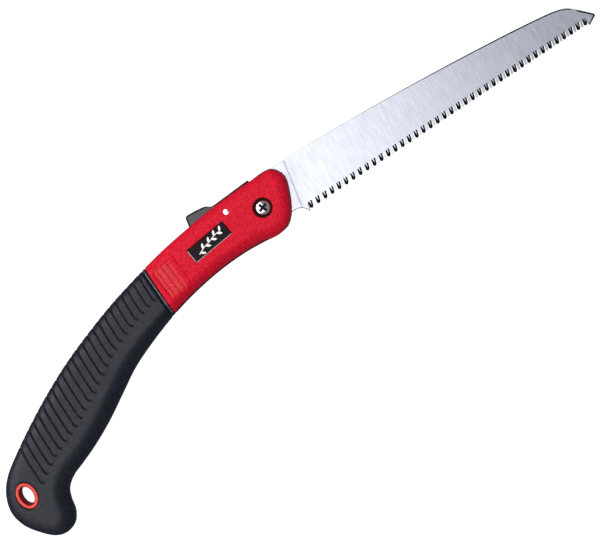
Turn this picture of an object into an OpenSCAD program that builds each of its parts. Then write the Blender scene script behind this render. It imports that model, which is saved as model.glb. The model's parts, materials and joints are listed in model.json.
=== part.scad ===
// Folding pruning saw with a curved two-part handle, a pivoting pull-stroke
// blade and a thumb lever that locks the blade open or folded.
// Design frame: the blade pivot is at x = y = 0, +x runs along the open blade
// to its tip, +y towards the back of the blade, z = 0 is the middle plane.
// place() then moves every piece onto z = 0, with the origin under the centre.

/* [Handle] */
// Half of the handle's thickness
half_thickness = 11.5; // [11:0.5:13]
// Height of the straight side wall above the middle plane
wall_height = 5; // [4:0.5:6]
// Width of the rounded edge on the front shells
shell_edge = 9; // [7:0.5:9.5]
// Width of the rounded edge on the grips
grip_edge = 12; // [9:0.5:12]
// Height of the moulded ledge along the belly above the middle plane
ledge_height = 3.4; // [3:0.1:4.5]
// Width of the ledge along the belly
ledge_width = 0.8; // [0:0.1:1]
// Curve steps between two points of the handle's outline
outline_steps = 2; // [1:1:4]
// Thickness of each steel liner
liner_thickness = 1; // [0.8:0.1:1.2]
// How far the liners stand proud of the shells at the nose
liner_lip = 0.6; // [0:0.1:0.6]
// How far the liners stay inside the handle elsewhere
liner_inset = 0.8; // [0.5:0.1:1.5]

/* [Blade] */
// Length of the toothed edge
toothed_length = 240; // [240:1:240]
// Distance from one tooth to the next
tooth_pitch = 3.05; // [3.05:0.01:3.1]
// Height of the teeth
tooth_height = 5.5; // [4.5:0.1:5.6]
// Height of the pointed end of each tooth
point_height = 2.1; // [1.5:0.1:2.5]
// How far each tooth leans back from its root towards the handle
tooth_lean = 0.8; // [0.5:0.1:1.2]
// Width of the gullets at their root and beside the points
gullet_width = 0.2; // [0.2:0.05:0.4]
// Thickness of the tang
blade_thickness = 1.4; // [1.2:0.1:1.5]
// Thickness of the ground blade
ground_thickness = 1.1; // [0.9:0.1:1.2]
// Angle through which the blade folds
fold_angle = 155; // [150:1:155]

/* [Pivot] */
// Radius of the pivot sleeve
sleeve_radius = 4; // [3.5:0.25:4.25]
// Radius of the pivot screw's shank
pivot_screw_radius = 2.5; // [2:0.25:2.75]
// Radius of the domed screw head
head_radius = 5.3; // [5:0.1:6]
// Radius of the recess round the screw head
recess_radius = 7.25; // [7:0.25:8]
// Height of the recess floor above the middle plane
recess_floor = 7.5; // [6.5:0.25:8]
// Radius of the stop pin
stop_pin_radius = 1.8; // [1.5:0.1:1.8]
// Distance from the pivot to the stop pin
stop_pin_distance = 8.3; // [8.3:0.1:8.5]
// Running clearance of the moving fits
clearance = 0.05; // [0.02:0.01:0.1]

/* [Lock] */
// Radius of the notched rim of the tang
rim_radius = 14.5; // [14.2:0.1:14.7]
// Depth of the notches for the lever's hook
notch_depth = 2.2; // [2.1:0.1:2.3]
// Width of the thumb pad
pad_width = 8.4; // [7:0.2:9]
// Radius of the lever pin
lever_pin_radius = 2.2; // [1.8:0.1:2.4]
// Thickness of the leaf spring under the lever
spring_thickness = 0.5; // [0.4:0.1:0.6]

/* [Fittings] */
// Length of the nameplate
plate_length = 33.4; // [28:0.2:34]
// Height of the nameplate
plate_height = 11.4; // [9:0.2:12]
// Depth of the nameplate's recess
plate_recess = 1.4; // [1:0.1:1.6]
// Width of the lanyard eyelet over its rim
eyelet_width = 15.2; // [14:0.2:15.6]
// Length of the lanyard eyelet over its rim
eyelet_length = 20.2; // [19:0.2:21]
// Wall of the lanyard eyelet
eyelet_wall = 3.4; // [2:0.1:4]
// Radius of the shell and grip screws
screw_radius = 1.5; // [1.25:0.05:1.75]

/* [Hidden] */
$fn = 64;

// Handle outline, from the nose along the spine to the butt and back along the belly
handle_points = [
    [10, 21.3], [-8, 21], [-30, 19.75], [-55, 16.9], [-80, 13], [-105, 7.4],
    [-130, 0.8], [-155, -7.5], [-180, -17.1], [-205, -29], [-228, -41.7], [-247, -53.5],
    [-260, -63], [-268, -73.5], [-271.6, -86], [-269, -98.5], [-262, -109],
    [-253.5, -117.3], [-245, -119.8], [-237, -117], [-231.8, -109.5], [-229.8, -100.5],
    [-226.5, -93.4], [-219, -87.8], [-209, -84], [-195, -78.3], [-177, -69.3],
    [-158, -57.8], [-140, -47], [-120, -38.4], [-97, -30.5], [-75, -25], [-52, -21.4],
    [-30, -20.2], [-13, -21.1], [-1, -22.4], [8, -20.4], [14.5, -14.8], [19.5, -6.5],
    [23.5, 3], [25.4, 10.5], [23.3, 16.6], [18.6, 20.8]
];
// The joint between the red shells and the black grips
joint_line = [[-95.6, 30], [-93.2, -40]];
// Places of the screws that hold the shells and the grips
shell_screw_places = [[-64, 8.5], [-87, -4]];
grip_screw_places = [[-118, -8], [-162, -24], [-206, -46]];
lever_pin_place = [-23.9, 11.8];
eyelet_place = [-254.8, -82];
plate_place = [-45.7, 0];
plate_angle = 7;
// Upper ends of the four grooves of the finger rest, and how far they lean
rest_grooves = [[-91.6, 3.3], [-88.7, 3.8], [-84.4, 4.5], [-80, 5.2]];
rest_slope = 4.4;
rest_length = 23;
rest_width = 1;
rest_depth = 0.6;
// Where the fuller belly begins and ends, counted along handle_points
belly_start = [17, 19];
belly_end = [34, 36.5];

// Half of the blade's slot, and the gap round fixed fittings
gap_half = 1.25;
gap = 0.1;
liner_outer = gap_half + liner_thickness;
lever_half = gap_half - gap;
far = 400;

// Screws and inserts of the shells and grips
screw_floor = 8.5;
screw_head_radius = 3;
screw_head_height = 2;
screw_slot = [3.4, 0.8, 1.4];
insert_depth = 5;
insert_radius = 2.6;
press_gap = 0.02;

// Pivot screw, its nut and washers
head_seat = recess_floor + 0.8;
head_wall = 0.7;
head_dome = 1.4;
head_cross = [6.2, 1.3];
cross_height = 0.9;
cross_turn = 20;
screw_end = -6;
nut_radius = recess_radius - 0.6;
nut_height = 2.6;
nut_slot = [10, 1.6, 1];
washer_radius = 6.2;

// How far fittings lie below the flat sides
plate_sink = 0.6;
eyelet_sink = 0.3;
pin_sink = 0.3;
pad_room = 0.4;
boss_radius = 4.2;
spring_half = 1.1;

// Outline of the blade: its back from the tang to the nose
back_points = [
    [12, 21], [60, 20.5], [110, 18.3], [160, 14.9], [210, 10.5], [240, 7.1], [254, 4.9],
    [262, 2.2], [268, -2.6], [277, -11.8]
];
nose_points = [[277.4, -12.8], [276.8, -13.8], [269.9, -17.4]];
heel_tip = [30.2, -20.5];
edge_rise = 3.2 / toothed_length;
last_tooth = floor(toothed_length / tooth_pitch);
ricasso_center = [18.6, -22.9];
ricasso_radius = 9.1;
grind_line = [[32.8, 30], [22.5, -24]];
hook_span = [-4, 0];
notch_span = [hook_span[0] - 0.3, hook_span[1] + 0.6];

function spline_point(a, b, c, d, t) =
    0.5 * (2 * b + (c - a) * t + (2 * a - 5 * b + 4 * c - d) * t * t
    + (3 * b - a - 3 * c + d) * t * t * t);
function smooth_loop(points, steps) = let (n = len(points)) [
    for (i = [0 : n - 1]) for (j = [0 : steps - 1])
        spline_point(points[(i + n - 1) % n], points[i], points[(i + 1) % n],
            points[(i + 2) % n], j / steps)
];
function smooth_line(points, steps) = let (n = len(points)) [
    for (i = [0 : n - 2]) for (j = [0 : steps - 1])
        spline_point(points[max(i - 1, 0)], points[i], points[i + 1],
            points[min(i + 2, n - 1)], j / steps),
    points[n - 1]
];
function arc(center, r, from, to, steps) = [
    for (i = [0 : steps]) let (a = from + (to - from) * i / steps)
        center + r * [cos(a), sin(a)]
];
function normal_at(loop, i) = let (
    n = len(loop),
    t = loop[(i + 1) % n] - loop[(i + n - 1) % n]
) [-t[1], t[0]] / norm(t);
function ramp(x, from, to) = min(1, max(0, (x - from) / (to - from)));
function rotated(p, c, a) = let (v = p - c)
    c + [v[0] * cos(a) - v[1] * sin(a), v[0] * sin(a) + v[1] * cos(a)];

outline = smooth_loop(handle_points, outline_steps);
function edge_width(x) = shell_edge + (grip_edge - shell_edge) * ramp(-x, 100, 150);
function belly_share(i) = let (k = i / outline_steps)
    ramp(k, belly_start[0], belly_start[1]) * (1 - ramp(k, belly_end[0], belly_end[1]));
liner_outline = [
    for (i = [0 : len(outline) - 1]) outline[i] + normal_at(outline, i)
        * (liner_inset - (liner_inset + liner_lip) * ramp(outline[i][0], -4, 8))
];

// Thumb pad, lever and the room they need
pad_points = [
    [-52.3, 14.6], [-52.3, 17.5], [-51, 24.1], [-49.6, 25.1], [-43, 24.8], [-35.8, 23.9],
    [-34, 23.2], [-31.2, 21.2], [-29.5, 20.85], [1.2, 22.75], [1.7, 22.2], [1.7, 21],
    [-30, 19.65], [-31.5, 15.6]
];
lever_points = [
    [0.6, 20.85], [-29.8, 19.6], [-31, 18.5], [-50.5, 18.5], [-50.5, 12.9], [-28, 10.6],
    [-21, 8.7], [-16, 13], [-7, 17.3], [hook_span[0], 17.3], [hook_span[0], 14.8],
    [hook_span[1], 14.8]
];
pad_groove = [[-51, 10], [-51, 18.6], [-31.4, 18.6], [-29.9, 20], [-29, 10]];
pocket_points = [
    [-53.1, 12.7], [-29, 14.7], [-29, 19], [-18, 19], [3, 18.2], [3, 40], [-53.1, 40]
];
spring_top = [[-62, 12.6], [-56, 12.6], [-50, 11.9], [-44, 11.4], [-38, 11.5]];

// Row origin: under the centre of the whole saw's box
low = [min([for (p = outline) p[0]]), min([for (p = outline) p[1]])];
high = [max([for (p = nose_points) p[0]]), max([for (p = pad_points) p[1]])];
module place() {
    translate([-(low[0] + high[0]) / 2, -(low[1] + high[1]) / 2, half_thickness])
        children();
}

// Half of the whole handle, from the liner out to the flat side, with a rounded rim
module half_handle() {
    difference() {
        slab(outline, liner_outer, half_thickness);
        rim_cutter();
    }
}
// Ring that takes the square rim off the handle. Its profile, inwards from the outline
// and up, is a quarter ellipse, but along the belly it is flatter and starts from a ledge.
rim_angles = [22, 40, 58, 74];
rim_reach = 2;
rim_foot = [0.2, 0.4];
belly_flatness = 0.33;
function rim_profile(i) = let (
    share = belly_share(i),
    foot = wall_height + (ledge_height - wall_height) * share,
    ledge = ledge_width * share,
    width = edge_width(outline[i][0]) - ledge,
    power = 1 + belly_flatness * share,
    inner = ledge + width + rim_reach / 2
) concat(
    [[-rim_reach, foot - rim_foot[1]], [ledge, foot] + rim_foot],
    [for (a = rim_angles) [
        ledge + width * (1 - pow(cos(a), power)),
        foot + (half_thickness - foot) * pow(sin(a), power)
    ]],
    [
        [inner, half_thickness + rim_foot[1]],
        [inner, half_thickness + rim_reach],
        [-rim_reach, half_thickness + rim_reach]
    ]
);
module rim_cutter() {
    n = len(outline);
    rows = [for (i = [0 : n - 1]) rim_profile(i)];
    m = len(rows[0]);
    points = [for (k = [0 : m - 1]) for (i = [0 : n - 1])
        let (p = outline[i] + normal_at(outline, i) * rows[i][k][0]) [p[0], p[1], rows[i][k][1]]];
    faces = [
        for (k = [0 : m - 1]) for (i = [0 : n - 1]) let (
            j = (i + 1) % n,
            next = (k + 1) % m
        ) for (f = [
            [k * n + i, k * n + j, next * n + j],
            [k * n + i, next * n + j, next * n + i]
        ]) f
    ];
    polyhedron(points, faces, convexity = 6);
}

module front_region() {
    translate([0, 0, -far / 2]) linear_extrude(far)
        polygon([joint_line[0], joint_line[1], [far, -far], [far, far]]);
}
module rear_region() {
    translate([0, 0, -far / 2]) linear_extrude(far)
        polygon([joint_line[0], [-far, far], [-far, -far], joint_line[1]]);
}
module right_side() {
    mirror([0, 0, 1]) children();
}
module bar(p, r, from, to) {
    translate([p[0], p[1], from]) cylinder(r = r, h = to - from);
}
module slab(points, from, to) {
    translate([0, 0, from]) linear_extrude(to - from) polygon(points);
}
module oval(width, length, from, to) {
    straight = length - width;
    for (s = [-1, 1])
        bar(eyelet_place + [0, s * straight / 2], width / 2, from, to);
    translate([eyelet_place[0] - width / 2, eyelet_place[1] - straight / 2, from])
        cube([width, straight, to - from]);
}
module name_panel(length, height, from, to) {
    translate([plate_place[0], plate_place[1], from]) rotate(plate_angle)
        translate([-length / 2, -height / 2, 0]) cube([length, height, to - from]);
}

// Holes that both front shells share: the pivot, the lever pin and the lever's pocket
module shell_cuts() {
    bar([0, 0], sleeve_radius + clearance, 0, far);
    bar([0, 0], recess_radius, recess_floor, far);
    bar(lever_pin_place, lever_pin_radius + clearance, 0, far);
    slab(pocket_points, 0, pad_width / 2 + pad_room);
}
// Grooves of the finger rest beside the grip
module finger_rest() {
    for (p = rest_grooves)
        translate([p[0], p[1], half_thickness - rest_depth]) rotate(rest_slope)
            translate([-rest_width / 2, -rest_length, 0]) cube([rest_width, rest_length, far]);
}
module left_shell() {
    place() color("firebrick") difference() {
        intersection() {
            half_handle();
            front_region();
        }
        shell_cuts();
        name_panel(plate_length + 2 * gap, plate_height + 2 * gap,
            half_thickness - plate_recess, far);
        for (p = shell_screw_places)
            bar(p, insert_radius, 0, liner_outer + insert_depth);
        finger_rest();
    }
}
module right_shell() {
    place() color("firebrick") right_side() difference() {
        intersection() {
            half_handle();
            front_region();
        }
        shell_cuts();
        for (p = shell_screw_places) {
            bar(p, screw_radius + gap, 0, far);
            bar(p, screw_head_radius + 2 * gap, screw_floor, far);
        }
        finger_rest();
    }
}

module left_grip() {
    place() color("dimgray") difference() {
        intersection() {
            half_handle();
            rear_region();
        }
        oval(eyelet_width, eyelet_length, 0, far);
        for (p = grip_screw_places)
            bar(p, insert_radius, 0, liner_outer + insert_depth);
    }
}
module right_grip() {
    place() color("dimgray") right_side() difference() {
        intersection() {
            half_handle();
            rear_region();
        }
        oval(eyelet_width, eyelet_length, 0, far);
        for (p = grip_screw_places) {
            bar(p, screw_radius + gap, 0, far);
            bar(p, screw_head_radius + 2 * gap, screw_floor, far);
        }
    }
}

// Steel side plate of the blade slot
module liner() {
    difference() {
        slab(liner_outline, gap_half, liner_outer);
        slab(pocket_points, 0, far);
        bar([0, 0], sleeve_radius + clearance, 0, far);
        bar([-stop_pin_distance, 0], stop_pin_radius + clearance, 0, far);
        bar(lever_pin_place, lever_pin_radius + clearance, 0, far);
        for (p = concat(shell_screw_places, grip_screw_places))
            bar(p, screw_radius + gap, 0, far);
        oval(eyelet_width, eyelet_length, 0, far);
    }
}
module left_liner() {
    place() color("#202022") liner();
}
module right_liner() {
    place() color("#202022") right_side() liner();
}

// Spacer along the spine and round the butt, clear of the folded blade
nose_swing = 279.4;
swing_angles = [205, 203.5, 202];
spacer_front = -56;
spring_slot = [[-62.2, 11.9], [-55, 11.9], [-55, 12.75], [-62.2, 12.75]];
function folded(p) = rotated(p, [0, 0], -fold_angle);
module back_spacer() {
    front_end = [[-31, 8], [-31, 9.8]];
    blade_room = concat(
        [front_end[1], [spacer_front, 10.4], [spacer_front, 30], [far, 30], [far, -far]],
        [for (a = swing_angles) nose_swing * [cos(a), sin(a)]],
        [folded([262, -20.9]), folded([50, -22.7])],
        [[-37, 8], front_end[0]]
    );
    tongue = [front_end[1], [-60, 10.4], [-60, -1], [-37, 8], front_end[0]];
    place() color("#2b2b2e") difference() {
        intersection() {
            slab([for (i = [0 : len(outline) - 1])
                outline[i] + normal_at(outline, i) * 1.5 * liner_inset], -gap_half, gap_half);
            union() {
                difference() {
                    translate([-far, -far, -gap_half])
                        cube([far + spacer_front, 2 * far, 2 * gap_half]);
                    slab(blade_room, -far, far);
                }
                slab(tongue, -gap_half, gap_half);
            }
        }
        oval(eyelet_width, eyelet_length, -far, far);
        for (p = concat(shell_screw_places, grip_screw_places))
            bar(p, screw_radius + gap, -far, far);
        slab(spring_slot, -far, far);
    }
}

// Blade
function tooth_tip(i) = heel_tip + i * tooth_pitch * [1, edge_rise];
// Gullet on the heel side of tooth i: its four corners, from the nose towards the heel
function gullet(i) = let (
    shoulder = tooth_tip(i) + [-tooth_pitch / 2, point_height],
    root = shoulder + [tooth_lean, tooth_height - point_height]
) [
    shoulder + [gullet_width, 0], root + [gullet_width / 2, 0],
    root - [gullet_width / 2, 0], shoulder - [gullet_width, 0]
];
teeth_points = concat(
    gullet(last_tooth + 1),
    [for (i = [last_tooth : -1 : 0]) for (p = concat([tooth_tip(i)], gullet(i))) p]
);
blade_points = concat(
    [[5, 13.6]],
    smooth_line(back_points, 4),
    nose_points,
    teeth_points,
    arc(ricasso_center, ricasso_radius, 15, 108, 8),
    [[3.5, -14.07], [0, -rim_radius + 0.5], [0, rim_radius - 0.5]]
);
module lock_notch() {
    translate([notch_span[0], rim_radius - notch_depth, -far / 2])
        cube([notch_span[1] - notch_span[0], rim_radius, far]);
}
module blade() {
    slot = stop_pin_radius + gap;
    place() color("gainsboro") difference() {
        union() {
            slab(blade_points, -ground_thickness / 2, ground_thickness / 2);
            intersection() {
                slab(blade_points, -blade_thickness / 2, blade_thickness / 2);
                slab([grind_line[0], grind_line[1], [-far, -far], [-far, far]], -far, far);
            }
            bar([0, 0], rim_radius, -blade_thickness / 2, blade_thickness / 2);
        }
        bar([0, 0], sleeve_radius + clearance, -far, far);
        for (a = [180, 180 + fold_angle])
            bar(stop_pin_distance * [cos(a), sin(a)], slot, -far, far);
        rotate(180) rotate_extrude(angle = fold_angle)
            translate([stop_pin_distance - slot, -blade_thickness])
                square([2 * slot, 2 * blade_thickness]);
        lock_notch();
        rotate(fold_angle) lock_notch();
    }
}

// Pivot
module pivot_screw() {
    dome = (head_radius * head_radius + head_dome * head_dome) / (2 * head_dome);
    place() color("silver") difference() {
        union() {
            bar([0, 0], pivot_screw_radius, screw_end, head_seat);
            intersection() {
                bar([0, 0], head_radius, head_seat, far);
                translate([0, 0, head_seat + head_wall + head_dome - dome]) sphere(dome);
            }
        }
        for (a = [0, 90]) rotate(cross_turn + a)
            translate([-head_cross[0] / 2, -head_cross[1] / 2, head_seat + cross_height])
                cube([head_cross[0], head_cross[1], far]);
    }
}
module pivot_lock_washer() {
    place() color("gray") difference() {
        bar([0, 0], recess_radius - 2 * gap, recess_floor, head_seat);
        bar([0, 0], pivot_screw_radius + 2 * gap, 0, far);
    }
}
module pivot_sleeve_nut() {
    place() color("silver") difference() {
        union() {
            bar([0, 0], sleeve_radius, -recess_floor, recess_floor - 2 * gap);
            bar([0, 0], nut_radius, -recess_floor - nut_height, -recess_floor);
        }
        bar([0, 0], pivot_screw_radius + clearance, screw_end - 0.5, far);
        translate([-nut_slot[0] / 2, -nut_slot[1] / 2, -far - recess_floor - nut_height])
            cube([nut_slot[0], nut_slot[1], far + nut_slot[2]]);
    }
}
module pivot_washer() {
    difference() {
        bar([0, 0], washer_radius, blade_thickness / 2 + clearance, gap_half);
        bar([0, 0], sleeve_radius + clearance, 0, far);
    }
}
module left_pivot_washer() {
    place() color("goldenrod") pivot_washer();
}
module right_pivot_washer() {
    place() color("goldenrod") right_side() pivot_washer();
}
module stop_pin() {
    place() color("gray") bar([-stop_pin_distance, 0], stop_pin_radius, -liner_outer, liner_outer);
}

// Lock
module lever_pin() {
    place() color("silver")
        bar(lever_pin_place, lever_pin_radius, pin_sink - half_thickness,
            half_thickness - pin_sink);
}
module lock_lever() {
    place() color("#2a2a2c") difference() {
        union() {
            slab(lever_points, -lever_half, lever_half);
            bar(lever_pin_place, boss_radius, -lever_half, lever_half);
        }
        bar(lever_pin_place, lever_pin_radius + clearance, -far, far);
    }
}
module thumb_pad() {
    place() color("#3c3d40") difference() {
        slab(pad_points, -pad_width / 2, pad_width / 2);
        slab(pad_groove, -gap_half, gap_half);
    }
}
module lock_spring() {
    top = smooth_line(spring_top, 4);
    under = [for (i = [len(top) - 1 : -1 : 0]) top[i] - [0, spring_thickness]];
    place() color("lightgray") slab(concat(top, under), -spring_half, spring_half);
}

// Fittings
module nameplate() {
    place() color("#1d1d22")
        name_panel(plate_length, plate_height, half_thickness - plate_recess,
            half_thickness - plate_sink);
}
module lanyard_eyelet() {
    lip = half_thickness - eyelet_sink;
    place() color("red") difference() {
        oval(eyelet_width - gap, eyelet_length - gap, -lip, lip);
        oval(eyelet_width - 2 * eyelet_wall, eyelet_length - 2 * eyelet_wall, -far, far);
    }
}
module side_screw(p) {
    difference() {
        union() {
            bar(p, screw_radius, -screw_floor, liner_outer + insert_depth - screw_radius / 2);
            bar(p, screw_head_radius, -screw_floor - screw_head_height, -screw_floor);
        }
        for (a = [0, 90])
            translate([p[0], p[1], -far - screw_floor - screw_head_height]) rotate(a)
                translate([-screw_slot[0] / 2, -screw_slot[1] / 2, 0])
                    cube([screw_slot[0], screw_slot[1], far + screw_slot[2]]);
    }
}
module insert(p) {
    difference() {
        bar(p, insert_radius - press_gap, liner_outer, liner_outer + insert_depth - gap);
        bar(p, screw_radius + clearance, 0, far);
    }
}
module shell_screws() {
    place() color("silver") for (p = shell_screw_places) side_screw(p);
}
module grip_screws() {
    place() color("silver") for (p = grip_screw_places) side_screw(p);
}
module shell_inserts() {
    place() color("gold") for (p = shell_screw_places) insert(p);
}
module grip_inserts() {
    place() color("gold") for (p = grip_screw_places) insert(p);
}

left_shell();
right_shell();
left_grip();
right_grip();
left_liner();
right_liner();
back_spacer();
blade();
pivot_screw();
pivot_lock_washer();
pivot_sleeve_nut();
left_pivot_washer();
right_pivot_washer();
stop_pin();
lever_pin();
lock_lever();
thumb_pad();
lock_spring();
nameplate();
lanyard_eyelet();
shell_screws();
shell_inserts();
grip_screws();
grip_inserts();
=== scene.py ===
"""Folding pruning saw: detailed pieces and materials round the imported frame.

Lengths are in mm in the design frame: the blade pivot is at x = y = 0, +x runs along the open
blade, +y to its back, z = 0 is the middle plane. placed() turns them into the row's metres.
"""

import json
import math

import bmesh
import bpy
import numpy as np
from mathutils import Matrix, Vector
from mathutils.geometry import delaunay_2d_cdt


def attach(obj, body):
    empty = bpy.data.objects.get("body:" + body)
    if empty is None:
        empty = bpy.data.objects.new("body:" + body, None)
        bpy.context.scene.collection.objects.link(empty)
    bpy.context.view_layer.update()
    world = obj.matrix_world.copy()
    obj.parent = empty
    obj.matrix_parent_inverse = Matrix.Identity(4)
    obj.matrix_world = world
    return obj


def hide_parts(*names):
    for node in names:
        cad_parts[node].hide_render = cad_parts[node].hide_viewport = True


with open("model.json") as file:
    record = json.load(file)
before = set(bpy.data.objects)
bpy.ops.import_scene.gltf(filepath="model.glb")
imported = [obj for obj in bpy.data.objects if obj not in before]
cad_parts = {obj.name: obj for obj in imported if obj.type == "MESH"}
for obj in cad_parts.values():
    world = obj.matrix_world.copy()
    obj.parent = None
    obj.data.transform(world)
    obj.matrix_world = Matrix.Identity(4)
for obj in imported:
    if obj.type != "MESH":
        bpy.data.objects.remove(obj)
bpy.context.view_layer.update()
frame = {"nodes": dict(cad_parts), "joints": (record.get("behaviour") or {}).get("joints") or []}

MM = 0.001
PIVOT = np.array(next(j for j in frame["joints"] if j["name"] == "blade_fold")["pos_m"]) / MM


# ---------------------------------------------------------------- outlines and sizes
# The handle's outline, and its wall, liners and rounded rim.
HANDLE_POINTS = [
    (10, 21.3), (-8, 21), (-30, 19.75), (-55, 16.9), (-80, 13), (-105, 7.4), (-130, 0.8),
    (-155, -7.5), (-180, -17.1), (-205, -29), (-228, -41.7), (-247, -53.5), (-260, -63),
    (-268, -73.5), (-271.6, -86), (-269, -98.5), (-262, -109), (-253.5, -117.3),
    (-245, -119.8), (-237, -117), (-231.8, -109.5), (-229.8, -100.5), (-226.5, -93.4),
    (-219, -87.8), (-209, -84), (-195, -78.3), (-177, -69.3), (-158, -57.8), (-140, -47),
    (-120, -38.4), (-97, -30.5), (-75, -25), (-52, -21.4), (-30, -20.2), (-13, -21.1),
    (-1, -22.4), (8, -20.4), (14.5, -14.8), (19.5, -6.5), (23.5, 3), (25.4, 10.5),
    (23.3, 16.6), (18.6, 20.8),
]
HALF = 11.5
WALL = 5.0
LINER = 2.25
SHELL_EDGE = 9.0
GRIP_EDGE = 12.0
EDGE_BLEND = (-150, -100)
# The ledge along the belly, and how flat the rim is above it.
LEDGE = 0.8
LEDGE_HEIGHT = 3.4
FLATNESS = 0.33
# Places on the handle.
JOINT = [(-95.6, 30), (-93.2, -40)]
SHELL_SCREWS = [(-64, 8.5), (-87, -4)]
GRIP_SCREWS = [(-118, -8), (-162, -24), (-206, -46)]
INSERT_BORE = 2.6
INSERT_TOP = 7.2
LEVER_PIN = (-23.9, 11.8)
EYELET = (-254.8, -82)
EYELET_SIZE = (7.55, 10.05)
PLATE = (-45.7, 0)
PLATE_ANGLE = math.radians(7)
PLATE_SIZE = (33.4, 11.4)
PLATE_FLOOR = 10.1
# The pivot's hole, and the recess and the domed head of its screw.
PIVOT_BORE = 4.05
RECESS = 7.25
RECESS_FLOOR = 7.5
HEAD_SEAT = 8.3
HEAD = 5.3
HEAD_WALL = 0.7
DOME_HEIGHT = 1.4
# The slot in the spine, and the thumb pad in it.
POCKET = [(-53.1, 12.7), (-29, 14.7), (-29, 19), (-18, 19), (3, 18.2), (3, 40), (-53.1, 40)]
PAD = [
    (-52.3, 14.6), (-52.3, 17.5), (-51, 24.1), (-49.6, 25.1), (-43, 24.8), (-35.8, 23.9),
    (-34, 23.2), (-31.2, 21.2), (-29.5, 20.85), (1.2, 22.75), (1.7, 22.2), (1.7, 21),
    (-30, 19.65), (-31.5, 15.6),
]
PAD_GROOVE = [(-51, 10), (-51, 18.6), (-31.4, 18.6), (-29.9, 20), (-29, 10)]
PAD_HALF = 4.2
BUTTON_END = -31.5
# The blade's back, nose and grind line.
BACK_POINTS = [
    (12, 21), (60, 20.5), (110, 18.3), (160, 14.9), (210, 10.5), (240, 7.1), (254, 4.9),
    (262, 2.2), (268, -2.6), (277, -11.8),
]
NOSE = [(277.4, -12.8), (276.8, -13.8), (269.9, -17.4)]
NOSE_START = 268
BLADE_HALF = 0.65
GRIND = ((32.8, 30.0), (22.5, -24.0))
GRIND_DEPTH = 0.1
# The heel and the teeth, which are counted from it.
HEEL = (30.2, -20.5)
HEEL_HOLLOW = (18.6, -22.9)
HOLLOW_RADIUS = 9.1
PITCH = 3.05
LAST_TOOTH = 78
TOOTH_HEIGHT = 5.5
POINT_HEIGHT = 2.1
TOOTH_LEAN = 0.8
TOOTH_GROW = 0.3
GULLET = 0.2
EDGE_RISE = 3.2 / 240
# The tang, its two lock notches and the stop pin's slot; angles are in degrees.
TANG = 14.5
TANG_START = (3.5, -14.07)
TANG_END = (5, 13.6)
NOTCH = (-4.3, 0.6)
NOTCH_FLOOR = 12.3
FOLD = 155
SLOT_RADIUS = 8.3
SLOT_HALF = 1.9
SLOT_SWING = (180, 335)
# The grip's cross grooves: their place along x, and their lower end.
GROOVE_X = -102.3 - 6.04 * np.arange(24)
GROOVE_END = np.interp(
    GROOVE_X, [-243, -225, -200, -176, -152, -128, -103], [-83, -71, -61, -48, -33, -22, -15]
)


# ---------------------------------------------------------------- curves
def spline(points, steps, closed=True):
    """Smooth curve through the points, in equal steps from each to the next."""
    p = np.array(points, float)
    n = len(p)
    t = (np.arange(steps) / steps)[:, None]
    out = []
    for i in range(n if closed else n - 1):
        near = [i - 1, i, i + 1, i + 2]
        a, b, c, d = p[[k % n if closed else min(max(k, 0), n - 1) for k in near]]
        out.append(
            0.5 * (2 * b + (c - a) * t + (2 * a - 5 * b + 4 * c - d) * t**2
                   + (3 * b - a - 3 * c + d) * t**3)
        )
    if not closed:
        out.append(p[-1:])
    return np.concatenate(out)


def resample(loop, spacing):
    """Points on a closed loop, spaced as the array says."""
    step = np.hypot(*(np.roll(loop, -1, 0) - loop)[:, :2].T)
    weight = np.cumsum(np.r_[0, step / spacing])
    count = int(math.ceil(weight[-1]))
    at = np.arange(count) * weight[-1] / count
    ring = np.vstack([loop, loop[:1]])
    return np.column_stack([np.interp(at, weight, column) for column in ring.T])


def inward(loop):
    """Unit normals of a counter-clockwise loop, pointing inside."""
    t = np.roll(loop, -1, 0) - np.roll(loop, 1, 0)
    return np.column_stack([-t[:, 1], t[:, 0]]) / np.hypot(*t.T)[:, None]


def ccw(points):
    """The polygon in counter-clockwise order."""
    p = np.array(points, float)
    q = np.roll(p, -1, 0)
    return p if (p[:, 0] * q[:, 1] - p[:, 1] * q[:, 0]).sum() > 0 else p[::-1]


def inset(points, amount):
    """Counter-clockwise polygon moved inside by amount, with mitred corners."""
    p = np.array(points, float)
    e = np.roll(p, -1, 0) - p
    e /= np.hypot(*e.T)[:, None]
    n = np.column_stack([-e[:, 1], e[:, 0]])
    m = np.roll(n, 1, 0)
    s = n + m
    return p + s * (amount / np.maximum((s * n).sum(1), 0.35))[:, None]


def rounded(points, radius, steps=4):
    """Polygon with its corners rounded off."""
    p = ccw(points)
    out = []
    for i in range(len(p)):
        a, b, c = p[i - 1], p[i], p[(i + 1) % len(p)]
        u, v = a - b, c - b
        lu, lv = np.hypot(*u), np.hypot(*v)
        r = min(radius, 0.45 * lu, 0.45 * lv)
        q, w = b + u / lu * r, b + v / lv * r
        for k in range(steps + 1):
            t = k / steps
            out.append((1 - t) ** 2 * q + 2 * t * (1 - t) * b + t * t * w)
    return np.array(out)


def arc(radius, start, end, steps, centre=(0, 0)):
    """Points of an arc between two angles in degrees."""
    a = np.radians(np.linspace(start, end, steps + 1))
    return np.column_stack([np.cos(a), np.sin(a)]) * radius + centre


def circle(radius, count, centre=(0, 0)):
    return arc(radius, 0, 360, count, centre)[:-1]


def turned(points, angle):
    """Points turned about the origin."""
    p = np.asarray(points, float)
    c, s = math.cos(angle), math.sin(angle)
    return np.column_stack([p[:, 0] * c - p[:, 1] * s, p[:, 0] * s + p[:, 1] * c])


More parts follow.
